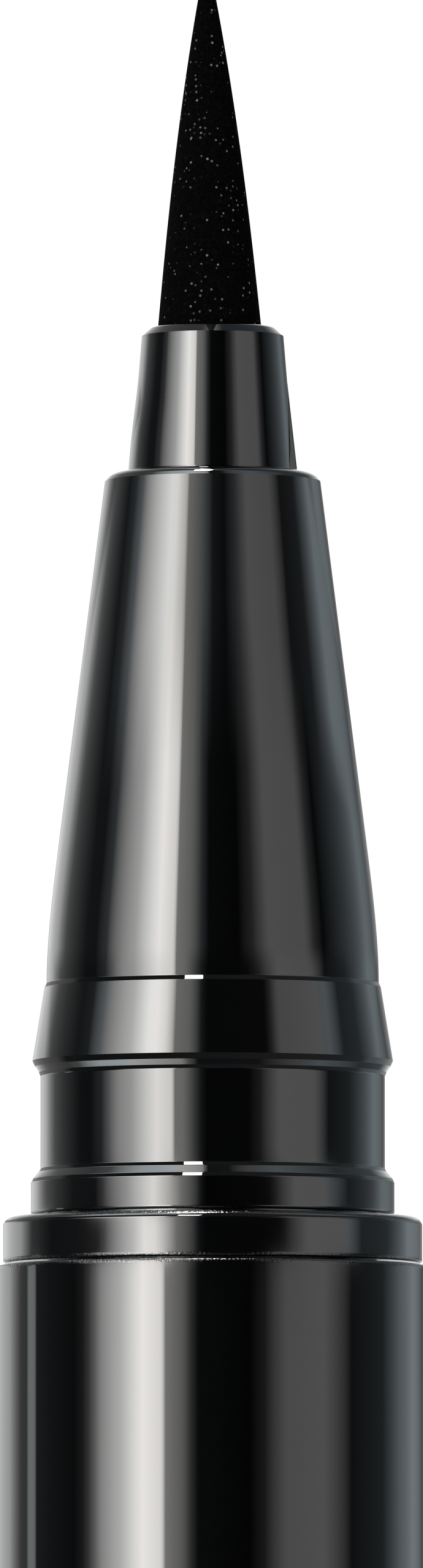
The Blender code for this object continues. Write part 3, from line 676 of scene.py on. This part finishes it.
class EYELINER_OT_nose(Operator):
    """Model the front section: stem, seal land, neck, snap band and cone"""

    bl_idname = "eyeliner.nose"
    bl_label = "Nose cone"

    def execute(self, context):
        sizes = context.scene.eyeliner_nose
        holder = context.scene.eyeliner_holder
        tip = context.scene.eyeliner_tip
        crisp = context.scene.eyeliner_barrel.edge_round
        low, high = foot("nose_cone"), top("nose_cone")
        land = top("middle_ring") + SEAT_GAP
        neck = land + sizes.land_height
        band = neck + sizes.neck_height
        cone = band + sizes.band_height
        groove_top = land - sizes.groove_drop
        groove_foot = groove_top - sizes.groove_width
        chamfer = (sizes.land_radius, neck - sizes.land_chamfer), (sizes.neck_radius, neck)
        lip = (sizes.neck_radius, band), (sizes.lip_radius, band + sizes.lip_height)
        # the curved foot turns from upright into the slope of the straight cone above it
        straight = high - cone - sizes.foot_height
        shoulder = sizes.foot_radius - sizes.foot_taper
        fall_over_foot = (shoulder - sizes.top_radius) / straight * sizes.foot_height
        ledge = (sizes.band_radius - sizes.foot_radius) / math.tan(sizes.facet_slope)
        clear = ledge / sizes.foot_height
        curved_foot = []
        for step in range(1, CONE_FOOT_STEPS + 1):
            t = clear + (1 - clear) * step / CONE_FOOT_STEPS
            fall = sizes.foot_taper * (3 * t**2 - 2 * t**3) + fall_over_foot * (t**3 - t**2)
            curved_foot.append((sizes.foot_radius - fall, cone + t * sizes.foot_height))
        rim = math.atan(fall_over_foot / sizes.foot_height), sizes.rim_slope, sizes.top_round
        seat = high - (tip.root_length - holder.height + holder.floor)
        bore = holder.stem_radius + FIT_GAP
        corners = [
            (sizes.stem_bore, low),
            (sizes.stem_radius, low, crisp),
            (sizes.stem_radius, groove_foot),
            (sizes.groove_radius, groove_foot),
            (sizes.groove_radius, groove_top),
            (sizes.stem_radius, groove_top),
            (sizes.stem_radius, land),
            (sizes.land_radius, land, crisp),
            chamfer[0],
            *facets(*chamfer, (sizes.facet_height, sizes.facet_height), sizes.facet_slope),
            chamfer[1],
            lip[0],
            *facets(*lip, (sizes.facet_height, sizes.lip_facet), sizes.facet_slope),
            lip[1],
            (sizes.band_radius, cone),
            (sizes.foot_radius, cone + ledge),
            *curved_foot,
            *eased_edge(sizes.top_radius, high, *rim),
            (bore, high),
            (bore, seat),
            (sizes.tube_bore, seat),
            (sizes.tube_bore, seat - sizes.web),
            (sizes.stem_bore, seat - sizes.web),
        ]
        dress(turned_piece("nose_cone_front", corners), "nose_cone", "pen", *BLACK)
        return {"FINISHED"}


def right_rib(base, sizes):
    """Cube drawn in to a drafted rib that runs out into the holder's wall."""
    slope = (sizes.base_radius - sizes.top_radius) / sizes.height
    middle = sizes.base_radius + sizes.rib_proud - sizes.rib_root / 2
    start_clean()
    bpy.ops.mesh.primitive_cube_add(
        size=1,
        location=(middle, 0, base + sizes.rib_height / 2),
        scale=(sizes.rib_root, 2 * sizes.rib_width, sizes.rib_height),
    )
    obj = begin_shape("right_rib")
    select_points(obj, lambda place: place.x < middle)
    widen = 1 + sizes.rib_root * math.tan(sizes.rib_draft) / sizes.rib_width
    bpy.ops.transform.resize(value=(1, widen, 1))
    select_points(obj, lambda place: place.z > base + sizes.rib_height / 2)
    bpy.ops.transform.translate(value=(-slope * sizes.rib_height - sizes.rib_proud, 0, 0))
    bpy.ops.transform.resize(value=(1, sizes.rib_top_width / sizes.rib_width, 1))
    fall = slope + sizes.rib_proud / sizes.rib_height
    select_points(obj, lambda place: place.x > middle - fall * (place.z - base))
    bpy.ops.mesh.bevel(offset=RIB_EASE, segments=RIB_EASE_STEPS, affect="EDGES")
    finish_shape()
    return obj


class EYELINER_OT_holder(Operator):
    """Model the nib holder, with a rib that swells out on its left and a drafted one on its right"""

    bl_idname = "eyeliner.holder"
    bl_label = "Nib holder"

    def execute(self, context):
        sizes = context.scene.eyeliner_holder
        tip = context.scene.eyeliner_tip
        crisp = context.scene.eyeliner_barrel.edge_round
        low, high = foot("nib_holder"), top("nib_holder")
        base = high - sizes.height
        root = high - tip.root_length
        wall = []
        for step in range(HOLDER_STEPS - 1):
            t = step / HOLDER_STEPS
            radius = sizes.base_radius + t * (sizes.top_radius - sizes.base_radius)
            wall.append((radius, base + t * sizes.height))
        slope = math.atan((sizes.base_radius - sizes.top_radius) / sizes.height)
        corners = [
            (sizes.core_bore, low),
            (sizes.stem_radius, low, crisp),
            (sizes.stem_radius, base),
            *wall,
            *eased_edge(sizes.top_radius, high, slope, sizes.rim_slope, sizes.corner),
            (sizes.mouth, high),
            (tip.radius + FIT_GAP, root),
            (sizes.core_bore, root),
        ]
        holder = turned_piece("nib_holder_sleeve", corners)
        bpy.ops.object.mode_set(mode="EDIT")
        reach = base + sizes.rib_full_height
        select_points(
            holder,
            lambda place: place.x < -sizes.stem_radius
            and abs(place.y) < sizes.rib_top_width
            and base - RING_TOLERANCE < place.z < reach,
        )
        bpy.ops.transform.translate(
            value=(-sizes.rib_proud, 0, 0),
            use_proportional_edit=True,
            proportional_edit_falloff="SMOOTH",
            proportional_size=sizes.rib_swell,
            use_proportional_connected=True,
        )
        bpy.ops.object.mode_set(mode="OBJECT")
        rib = right_rib(base, sizes)
        apply_modifier(holder, "BOOLEAN", operation="UNION", solver="EXACT", object=rib)
        bpy.data.objects.remove(rib)
        dress(holder, "nib_holder", "pen", *BLACK, RIB_KINK)
        return {"FINISHED"}


class EYELINER_OT_tip(Operator):
    """Model the pressed felt tip"""

    bl_idname = "eyeliner.tip"
    bl_label = "Felt tip"

    def execute(self, context):
        sizes = context.scene.eyeliner_tip
        mouth = top("nib_holder")
        root = mouth - sizes.root_length
        end = mouth + sizes.length
        corners = [(0, root), (sizes.radius, root, sizes.root_round)]
        for step in range(TIP_STEPS):
            t = step / TIP_STEPS
            narrowing = sizes.straight * t + (1 - sizes.straight) * t**TIP_CURVE
            corners.append((sizes.radius * (1 - narrowing), mouth + t * sizes.length))
        corners += [
            (sizes.point, end - sizes.point),
            (sizes.point * POINT_MIDDLE, end - sizes.point * (1 - POINT_MIDDLE)),
            (0, end),
        ]
        tip = turned_piece("pressed_felt_tip", corners)
        bpy.ops.object.mode_set(mode="EDIT")
        bpy.ops.mesh.select_all(action="SELECT")
        bpy.ops.transform.rotate(value=sizes.lean, orient_axis="Y", center_override=(0, 0, root))
        dress(tip, "felt_tip", "pen", "black_felt", "pressed_polyester_felt")
        return {"FINISHED"}


class EYELINER_OT_cap(Operator):
    """Model the cap that stands under the pen, and the peg that carries it"""

    bl_idname = "eyeliner.cap"
    bl_label = "Cap and peg"

    def execute(self, context):
        sizes = context.scene.eyeliner_cap
        radius = context.scene.eyeliner_barrel.radius
        crisp = context.scene.eyeliner_barrel.edge_round
        low, high = foot("cap_shell"), top("cap_shell")
        bead = high - sizes.bead_depth
        crest = bead + sizes.bead_height
        corners = [
            (0, low),
            (radius, low, sizes.end_round),
            (radius, high, crisp),
            (sizes.bore, high, crisp),
            (sizes.bore, crest),
            (sizes.bead_radius, crest - sizes.bead_ramp, crisp),
            (sizes.bead_radius, bead + sizes.bead_ramp, crisp),
            (sizes.bore, bead),
            (sizes.bore, sizes.end_wall),
            (0, sizes.end_wall),
        ]
        dress(turned_piece("cap", corners), "cap_shell", "cap", *BLACK)
        low, high = foot("tail_peg"), top("tail_peg")
        root = crest + sizes.peg_relief
        seat = low + sizes.peg_length
        hollow = sizes.peg_radius - sizes.peg_wall
        corners = [
            (0, low),
            (sizes.peg_radius, low, sizes.end_round),
            (sizes.peg_radius, root),
            (sizes.peg_root, root, crisp),
            (sizes.peg_root, seat),
            (sizes.peg_stem, seat),
            (sizes.peg_stem, high),
            (hollow, high),
            (hollow, low + sizes.peg_wall, sizes.end_round),
            (0, low + sizes.peg_wall),
        ]
        dress(turned_piece("tail_peg_post", corners), "tail_peg", "pen", *BLACK)
        return {"FINISHED"}


def coil(name, radius, wire, low, length, turns):
    """The wire's round section, wound about the axis by a screw and closed at both ends."""
    start_clean()
    bpy.ops.mesh.primitive_circle_add(
        vertices=WIRE_STEPS,
        radius=wire,
        location=(radius - wire, 0, low + wire),
        rotation=(RIGHT_ANGLE, 0, 0),
    )
    obj = begin_shape(name)
    rise = (length - 2 * wire) / turns
    winding = {"angle": math.tau, "screw_offset": rise, "iterations": turns, "steps": TURN_STEPS}
    apply_modifier(obj, "SCREW", axis="Z", **winding)
    bpy.ops.object.mode_set(mode="EDIT")
    bpy.ops.mesh.select_all(action="SELECT")
    bpy.ops.mesh.fill_holes(sides=0)
    finish_shape()
    return obj


class EYELINER_OT_inner_cap(Operator):
    """Model the sprung inner cap, its gasket, its guide and its spring"""

    bl_idname = "eyeliner.inner_cap"
    bl_label = "Inner cap"

    def execute(self, context):
        sizes = context.scene.eyeliner_cap
        crisp = context.scene.eyeliner_barrel.edge_round
        low, high = foot("inner_cap"), top("inner_cap")
        ledge = low + sizes.flange_height
        corners = [
            (0, low),
            (sizes.flange_radius, low, crisp),
            (sizes.flange_radius, ledge, crisp),
            (sizes.inner_radius, ledge),
            (sizes.inner_radius, high),
            (sizes.inner_bore, high),
            (sizes.inner_bore, ledge),
            (0, ledge),
        ]
        dress(turned_piece("inner_cap_cup", corners), "inner_cap", "inner_cap", *MILKY)
        low, high = foot("inner_cap_gasket"), top("inner_cap_gasket")
        corners = [
            (sizes.inner_bore, low),
            (sizes.inner_radius, low),
            (sizes.inner_radius, high, sizes.gasket_round),
            (sizes.inner_bore, high, sizes.gasket_round),
        ]
        seal = turned_piece("inner_cap_seal", corners)
        dress(seal, "inner_cap_gasket", "inner_cap", "gasket_rubber", "moulded_gasket_silicone")
        low, high = foot("cap_liner"), top("cap_liner")
        chamber = sizes.flange_radius + SLIDE_GAP
        bore = sizes.inner_radius + SLIDE_GAP
        corners = [
            (chamber, low),
            (outside("cap_liner"), low),
            (outside("cap_liner"), high, crisp),
            (bore, high, crisp),
            (bore, ledge + SEAT_GAP),
            (chamber, ledge + SEAT_GAP),
        ]
        dress(turned_piece("cap_guide", corners), "cap_liner", "cap", *MILKY)
        low = foot("cap_spring")
        rest = top("cap_spring") - low
        winding = outside("cap_spring"), sizes.spring_wire, low, rest, sizes.spring_turns
        spring = coil("inner_cap_spring", *winding)
        dress(spring, "cap_spring", "cap", "polished_steel", "polished_stainless_steel")
        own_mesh(spring)
        return {"FINISHED"}


INSIDE = {
    "ink_tank": "moulded_polypropylene",
    "feed_tube": "moulded_polypropylene",
    "tank_plug": "moulded_polypropylene",
    "tail_plug": "moulded_polypropylene",
    "comb_collector": "moulded_collector_abs",
    "feed_core": "acrylic_fibre_wick",
    "section_seal": "moulded_nitrile_rubber",
    "tail_seal": "moulded_nitrile_rubber",
    "mixing_ball": "polished_stainless_steel",
}


class EYELINER_OT_inside(Operator):
    """Give the pieces inside the pen their materials"""

    bl_idname = "eyeliner.inside"
    bl_label = "Materials inside"

    def execute(self, context):
        for node, material in INSIDE.items():
            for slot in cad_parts[node].material_slots:
                slot.material = ready_material(material)
        return {"FINISHED"}


# Studio, as the pen's gloss sees it. Each strip is for one part of the pen, because each part
# mirrors other heights of the studio. A strip gives, at azimuths in degrees, how strong the light
# is, where 1 is white. Azimuth 0 is the camera, 90 its right and 180 the backdrop. From the left
# there are the backdrop, a slit beside the black card, the key softbox with its wing, black, the
# fill light, black again and the backdrop, as at the first azimuth. The gap is what slanted edges
# mirror, and the roof what steep ones do.
STUDIO = {
    "barrel": (
        (-180, 0.3), (-165, 0.63), (-141, 0.86), (-126, 0.19), (-119, 0.173), (-117.4, 0.92),
        (-111.4, 0.92), (-109.8, 0.082), (-80, 0.038), (-74, 0.1), (-70, 0.38), (-66, 1.18),
        (-62, 2.6), (-50, 5.2), (-38, 10.1), (-27.2, 8.3), (-25.6, 2.1), (-16, 1.14), (-12, 0.32),
        (-8, 0.037), (20, 0.013), (28, 0.109), (40, 0.84), (62, 0.91), (80, 0.056), (104, 0.122),
        (120, 0.54), (136, 0.68), (152, 0.156), (160, 0.15),
    ),
    "collar": (
        (-180, 0.3), (-165, 0.83), (-132, 1.1), (-119, 0.184), (-100, 0.049), (-66, 0.09),
        (-62, 0.5), (-44, 5.8), (-38, 9.2), (-32, 8.9), (-20, 1.82), (-8, 0.075), (-4, 0.02),
        (36, 0.014), (40, 0.06), (54, 0.97), (80, 0.89), (90, 0.162), (112, 0.162), (136, 0.64),
        (160, 0.18),
    ),
    "land": (
        (-180, 0.3), (-165, 0.78), (-150, 0.86), (-132, 0.28), (-100, 0.069), (-80, 0.061),
        (-74, 0.35), (-56, 3.4), (-38, 8.4), (-20, 1.82), (-8, 0.093), (-4, 0.011), (36, 0.024),
        (40, 0.12), (54, 0.95), (76, 0.86), (96, 0.108), (120, 0.24), (136, 0.5), (160, 0.15),
    ),
    "neck": (
        (-180, 0.3), (-165, 0.75), (-150, 0.85), (-132, 0.26), (-100, 0.047), (-90, 0.047),
        (-80, 0.2), (-74, 0.88), (-66, 2.5), (-56, 3.6), (-38, 8.7), (-27.2, 7.3), (-25.6, 1.82),
        (-20, 1.68), (-12, 0.41), (-8, 0.095), (-4, 0.018), (24, 0.02), (32, 0.116), (46, 0.96),
        (72, 0.83), (84, 0.063), (104, 0.113), (136, 0.54), (160, 0.12),
    ),
    "cone": (
        (-180, 0.35), (-165, 0.88), (-141, 0.92), (-126, 0.29), (-100, 0.065), (-90, 0.065),
        (-80, 0.32), (-56, 4), (-38, 9.8), (-27.2, 7.5), (-25.6, 1.97), (-16, 1.33), (-8, 0.25),
        (-3, 0.03), (18, 0.015), (28, 0.18), (40, 0.89), (68, 0.78), (76, 0.2), (84, 0.022),
        (136, 0.5), (152, 0.19),
    ),
    "upper cone": (
        (-180, 0.35), (-165, 0.82), (-141, 0.96), (-126, 0.33), (-100, 0.074), (-90, 0.21),
        (-80, 0.89), (-44, 8.2), (-38, 8.2), (-27.2, 4.7), (-25.6, 1.72), (0, 0.095), (12, 0.037),
        (24, 0.28), (36, 0.88), (62, 0.73), (76, 0.065), (96, 0.108), (120, 0.83), (152, 0.151),
    ),
    "band": (
        (-180, 0.3), (-165, 0.77), (-150, 0.77), (-132, 0.25), (-100, 0.069), (-90, 0.133),
        (-80, 1), (-56, 4.9), (-44, 9.3), (-38, 9.8), (-32, 8.3), (-27.2, 5), (-25.6, 1.72),
        (-16, 1.34), (-8, 0.105), (-4, 0.026), (36, 0.028), (40, 0.167), (46, 0.74), (84, 0.85),
        (96, 0.138), (112, 0.156), (136, 0.53), (160, 0.127),
    ),
    "gap": (
        (-180, 0.3), (-126, 0.21), (-117.4, 0.05), (120, 0.151), (128, 0.32),
    ),
    "roof": (
        (-180, 1), (-150, 0.25), (-126, 0.2), (-117, 0.4), (-100, 2.7), (-80, 3.6), (-32, 2.2),
        (-25.6, 0.85), (-16, 0.061), (46, 0.07), (96, 0.73), (128, 0.15), (152, 0.15),
    ),
}
FULL_LIGHT = 10  # strength that a ramp of the studio shows as white
# Where the strip before gives way to each strip, in degrees: by height above the horizon, or by
# tilt, which for a place in the studio is that of a face of the pen, up from upright, which shows
# the place to the camera. Steepness is a tilt up or down.
CHANGES = {
    "collar": ("height", 2.163, 2.169),
    "land": ("height", 2.31, 2.316),
    "neck": ("height", 2.44, 2.46),
    "cone": ("tilt", 0.9, 2.9),
    "upper cone": ("tilt", 7.4, 7.65),
    "band": ("tilt", 8.4, 8.6),
    "gap": ("steepness", 17, 18.5),
    "roof": ("steepness", 30, 31.5),
}
# Tints by azimuth: the strips are white but for the cool black cards, the key softbox's warm edge
# and the cool backdrop on the right.
TINTS = (
    (-180, "#FEFFFF"), (-126, "#FEFFFF"), (-119, "#F7FDFF"), (-109.8, "#F7FDFF"), (-100, "#EEF9FF"),
    (-80, "#EEF9FF"), (-74, "#FFFFFE"), (-44, "#FFFFFE"), (-38, "#FFFCF8"), (-27.2, "#FFFCF8"),
    (-25.6, "#FFFEFC"), (-12, "#FFFEFC"), (-8, "#EEF9FF"), (20, "#EEF9FF"), (24, "#FFFFFF"),
    (76, "#FFFFFF"), (80, "#EEF9FF"), (84, "#EEF9FF"), (90, "#E7F7FF"), (152, "#E7F7FF"),
    (160, "#FEFFFF"),
)


def stops_around(shades):
    """Stops of a ramp once round the pen, from (azimuth, colour) pairs and back to the first."""
    return [((place + 180) / 360, shade) for place, shade in [*shades, (180, shades[0][1])]]


def studio_world(settings):
    """Plain soft light. Gloss shows the softboxes, the black cards and the backdrop.

    The camera, and glass, see plain white."""
    world = bpy.data.worlds.new("studio")
    world.use_nodes = True
    world.node_tree.nodes.clear()
    add = partial(add_node, world.node_tree)
    directions = add("TexCoord").outputs["Generated"]
    turned = add("Mapping", {"Vector": directions, "Rotation": (0, 0, RIGHT_ANGLE)})
    azimuth = add("TexGradient", [turned], gradient_type="RADIAL").outputs["Fac"]
    height = add("SeparateXYZ", [directions]).outputs["Z"]
    # the upright part of the line halfway between a place and the camera
    ahead = (0, math.cos(settings.studio_rise), math.sin(settings.studio_rise))
    halfway = add("VectorMath", [directions, ahead], operation="SUBTRACT")
    unit = add("VectorMath", [halfway], operation="NORMALIZE")
    tilt = add("SeparateXYZ", [unit]).outputs["Z"]
    steepness = add("Math", [tilt], operation="ABSOLUTE")
    measures = {"height": height, "tilt": tilt, "steepness": steepness}
    around = None
    for part, strip in STUDIO.items():
        shades = [(place, [strength / FULL_LIGHT] * 3 + [1]) for place, strength in strip]
        ring = add("ValToRGB", [azimuth], stops_around(shades))
        if around is not None:
            measure, *edges = CHANGES[part]
            edges = [math.sin(math.radians(edge)) for edge in edges]
            above = add("MapRange", [measures[measure], *edges])
            ring = add("Mix", {"Factor": above, "A": around, "B": ring}, data_type="RGBA")
        around = ring
    tints = [(place, linear_colour(code)) for place, code in TINTS]
    tint = add("ValToRGB", [azimuth], stops_around(tints))
    layers = {"Factor": 1, "A": around, "B": tint}
    tinted = add("Mix", layers, data_type="RGBA", blend_type="MULTIPLY")
    gloss = add("Background", {"Color": tinted, "Strength": settings.gloss_level})
    plain, white = [
        add("Background", {"Color": (1, 1, 1, 1), "Strength": strength})
        for strength in (settings.plain_level, 1)
    ]
    path = add("LightPath").outputs
    seen = add("Math", [path["Is Camera Ray"], path["Is Transmission Ray"]], operation="MAXIMUM")
    mirrored = add("MixShader", [path["Is Glossy Ray"], plain, gloss])
    add("OutputWorld", [add("MixShader", [seen, mirrored, white])])
    return world


def softbox(name, aim):
    """Square lamp that faces the pen as its settings say, and isn't in the picture."""
    settings = bpy.context.scene.eyeliner_studio
    azimuth, rise, distance, size, energy = [
        getattr(settings, f"{name}_{setting}")
        for setting in ("azimuth", "rise", "distance", "size", "power")
    ]
    toward = Vector(
        (math.sin(azimuth) * math.cos(rise), -math.cos(azimuth) * math.cos(rise), math.sin(rise))
    )
    bpy.ops.object.light_add(type="AREA", location=aim + toward * distance)
    lamp = bpy.context.object
    lamp.name = lamp.data.name = f"{name}_softbox"
    lamp.rotation_euler = toward.to_track_quat("Z", "Y").to_euler()
    lamp.data.size = size
    lamp.data.energy = energy
    lamp.visible_camera = False
    return lamp


class EYELINER_OT_studio(Operator):
    """Set up the white floor, the softboxes and the camera"""

    bl_idname = "eyeliner.studio"
    bl_label = "Studio"

    def execute(self, context):
        scene = context.scene
        settings = scene.eyeliner_studio
        start_clean()
        bpy.ops.mesh.primitive_circle_add(
            vertices=FLOOR_STEPS,
            radius=settings.floor_radius,
            fill_type="NGON",
            location=(0, 0, -FLOOR_GAP),
        )
        floor = begin_shape("white_floor")
        bpy.ops.mesh.select_all(action="SELECT")
        bpy.ops.mesh.extrude_region_move(TRANSFORM_OT_translate={"value": (0, 0, -BOARD)})
        finish_shape()
        floor.data.materials.append(ready_material("matt_white_card"))
        floor.visible_glossy = False
        scene.world = studio_world(settings)
        nose = Vector((0, 0, top("nose_cone")))
        softbox("top", nose)
        softbox("overhead", nose).visible_diffuse = False
        softbox("front", nose).visible_glossy = False
        picture = PICTURE_HEIGHT / (PIXELS_PER_MM / MM)
        rise = settings.camera_rise
        aim = Vector((settings.axis_shift, 0, top("outer_sleeve") + settings.aim_height))
        back = Vector((0, -math.cos(rise), -math.sin(rise)))
        bpy.ops.object.camera_add(
            location=aim + back * settings.camera_distance, rotation=(RIGHT_ANGLE + rise, 0, 0)
        )
        camera = context.object
        camera.name = "studio_camera"
        camera.data.sensor_width = SENSOR
        camera.data.lens = SENSOR * settings.camera_distance / picture
        camera.data.clip_start = CLIP_START
        camera.data.clip_end = CLIP_END
        scene.camera = camera
        scene.view_settings.view_transform = "Standard"
        return {"FINISHED"}


class EYELINER_PT_panel(Panel):
    """Steps that model the eyeliner, and the sizes that they use"""

    bl_label = "Felt-tip eyeliner"
    bl_idname = "EYELINER_PT_panel"
    bl_space_type = "VIEW_3D"
    bl_region_type = "UI"
    bl_category = "Eyeliner"

    def draw(self, context):
        for operator in OPERATORS:
            self.layout.operator(operator.bl_idname)
        for name in GROUPS:
            box = self.layout.box()
            group = getattr(context.scene, name)
            for size in group.__annotations__:
                box.prop(group, size)


GROUPS = {
    "eyeliner_barrel": BarrelSizes,
    "eyeliner_nose": NoseSizes,
    "eyeliner_holder": HolderSizes,
    "eyeliner_tip": TipSizes,
    "eyeliner_cap": CapSizes,
    "eyeliner_finishes": Finishes,
    "eyeliner_studio": StudioSettings,
}
OPERATORS = (
    EYELINER_OT_barrel,
    EYELINER_OT_nose,
    EYELINER_OT_holder,
    EYELINER_OT_tip,
    EYELINER_OT_cap,
    EYELINER_OT_inner_cap,
    EYELINER_OT_inside,
    EYELINER_OT_studio,
)


def register():
    for name, group in GROUPS.items():
        bpy.utils.register_class(group)
        setattr(bpy.types.Scene, name, PointerProperty(type=group))
    for operator in OPERATORS:
        bpy.utils.register_class(operator)
    bpy.utils.register_class(EYELINER_PT_panel)


def unregister():
    bpy.utils.unregister_class(EYELINER_PT_panel)
    for operator in reversed(OPERATORS):
        bpy.utils.unregister_class(operator)
    for name, group in reversed(GROUPS.items()):
        delattr(bpy.types.Scene, name)
        bpy.utils.unregister_class(group)


def main():
    register()
    bpy.ops.eyeliner.barrel()
    bpy.ops.eyeliner.nose()
    bpy.ops.eyeliner.holder()
    bpy.ops.eyeliner.tip()
    bpy.ops.eyeliner.cap()
    bpy.ops.eyeliner.inner_cap()
    bpy.ops.eyeliner.inside()
    bpy.ops.eyeliner.studio()


if __name__ == "__main__":
    main()
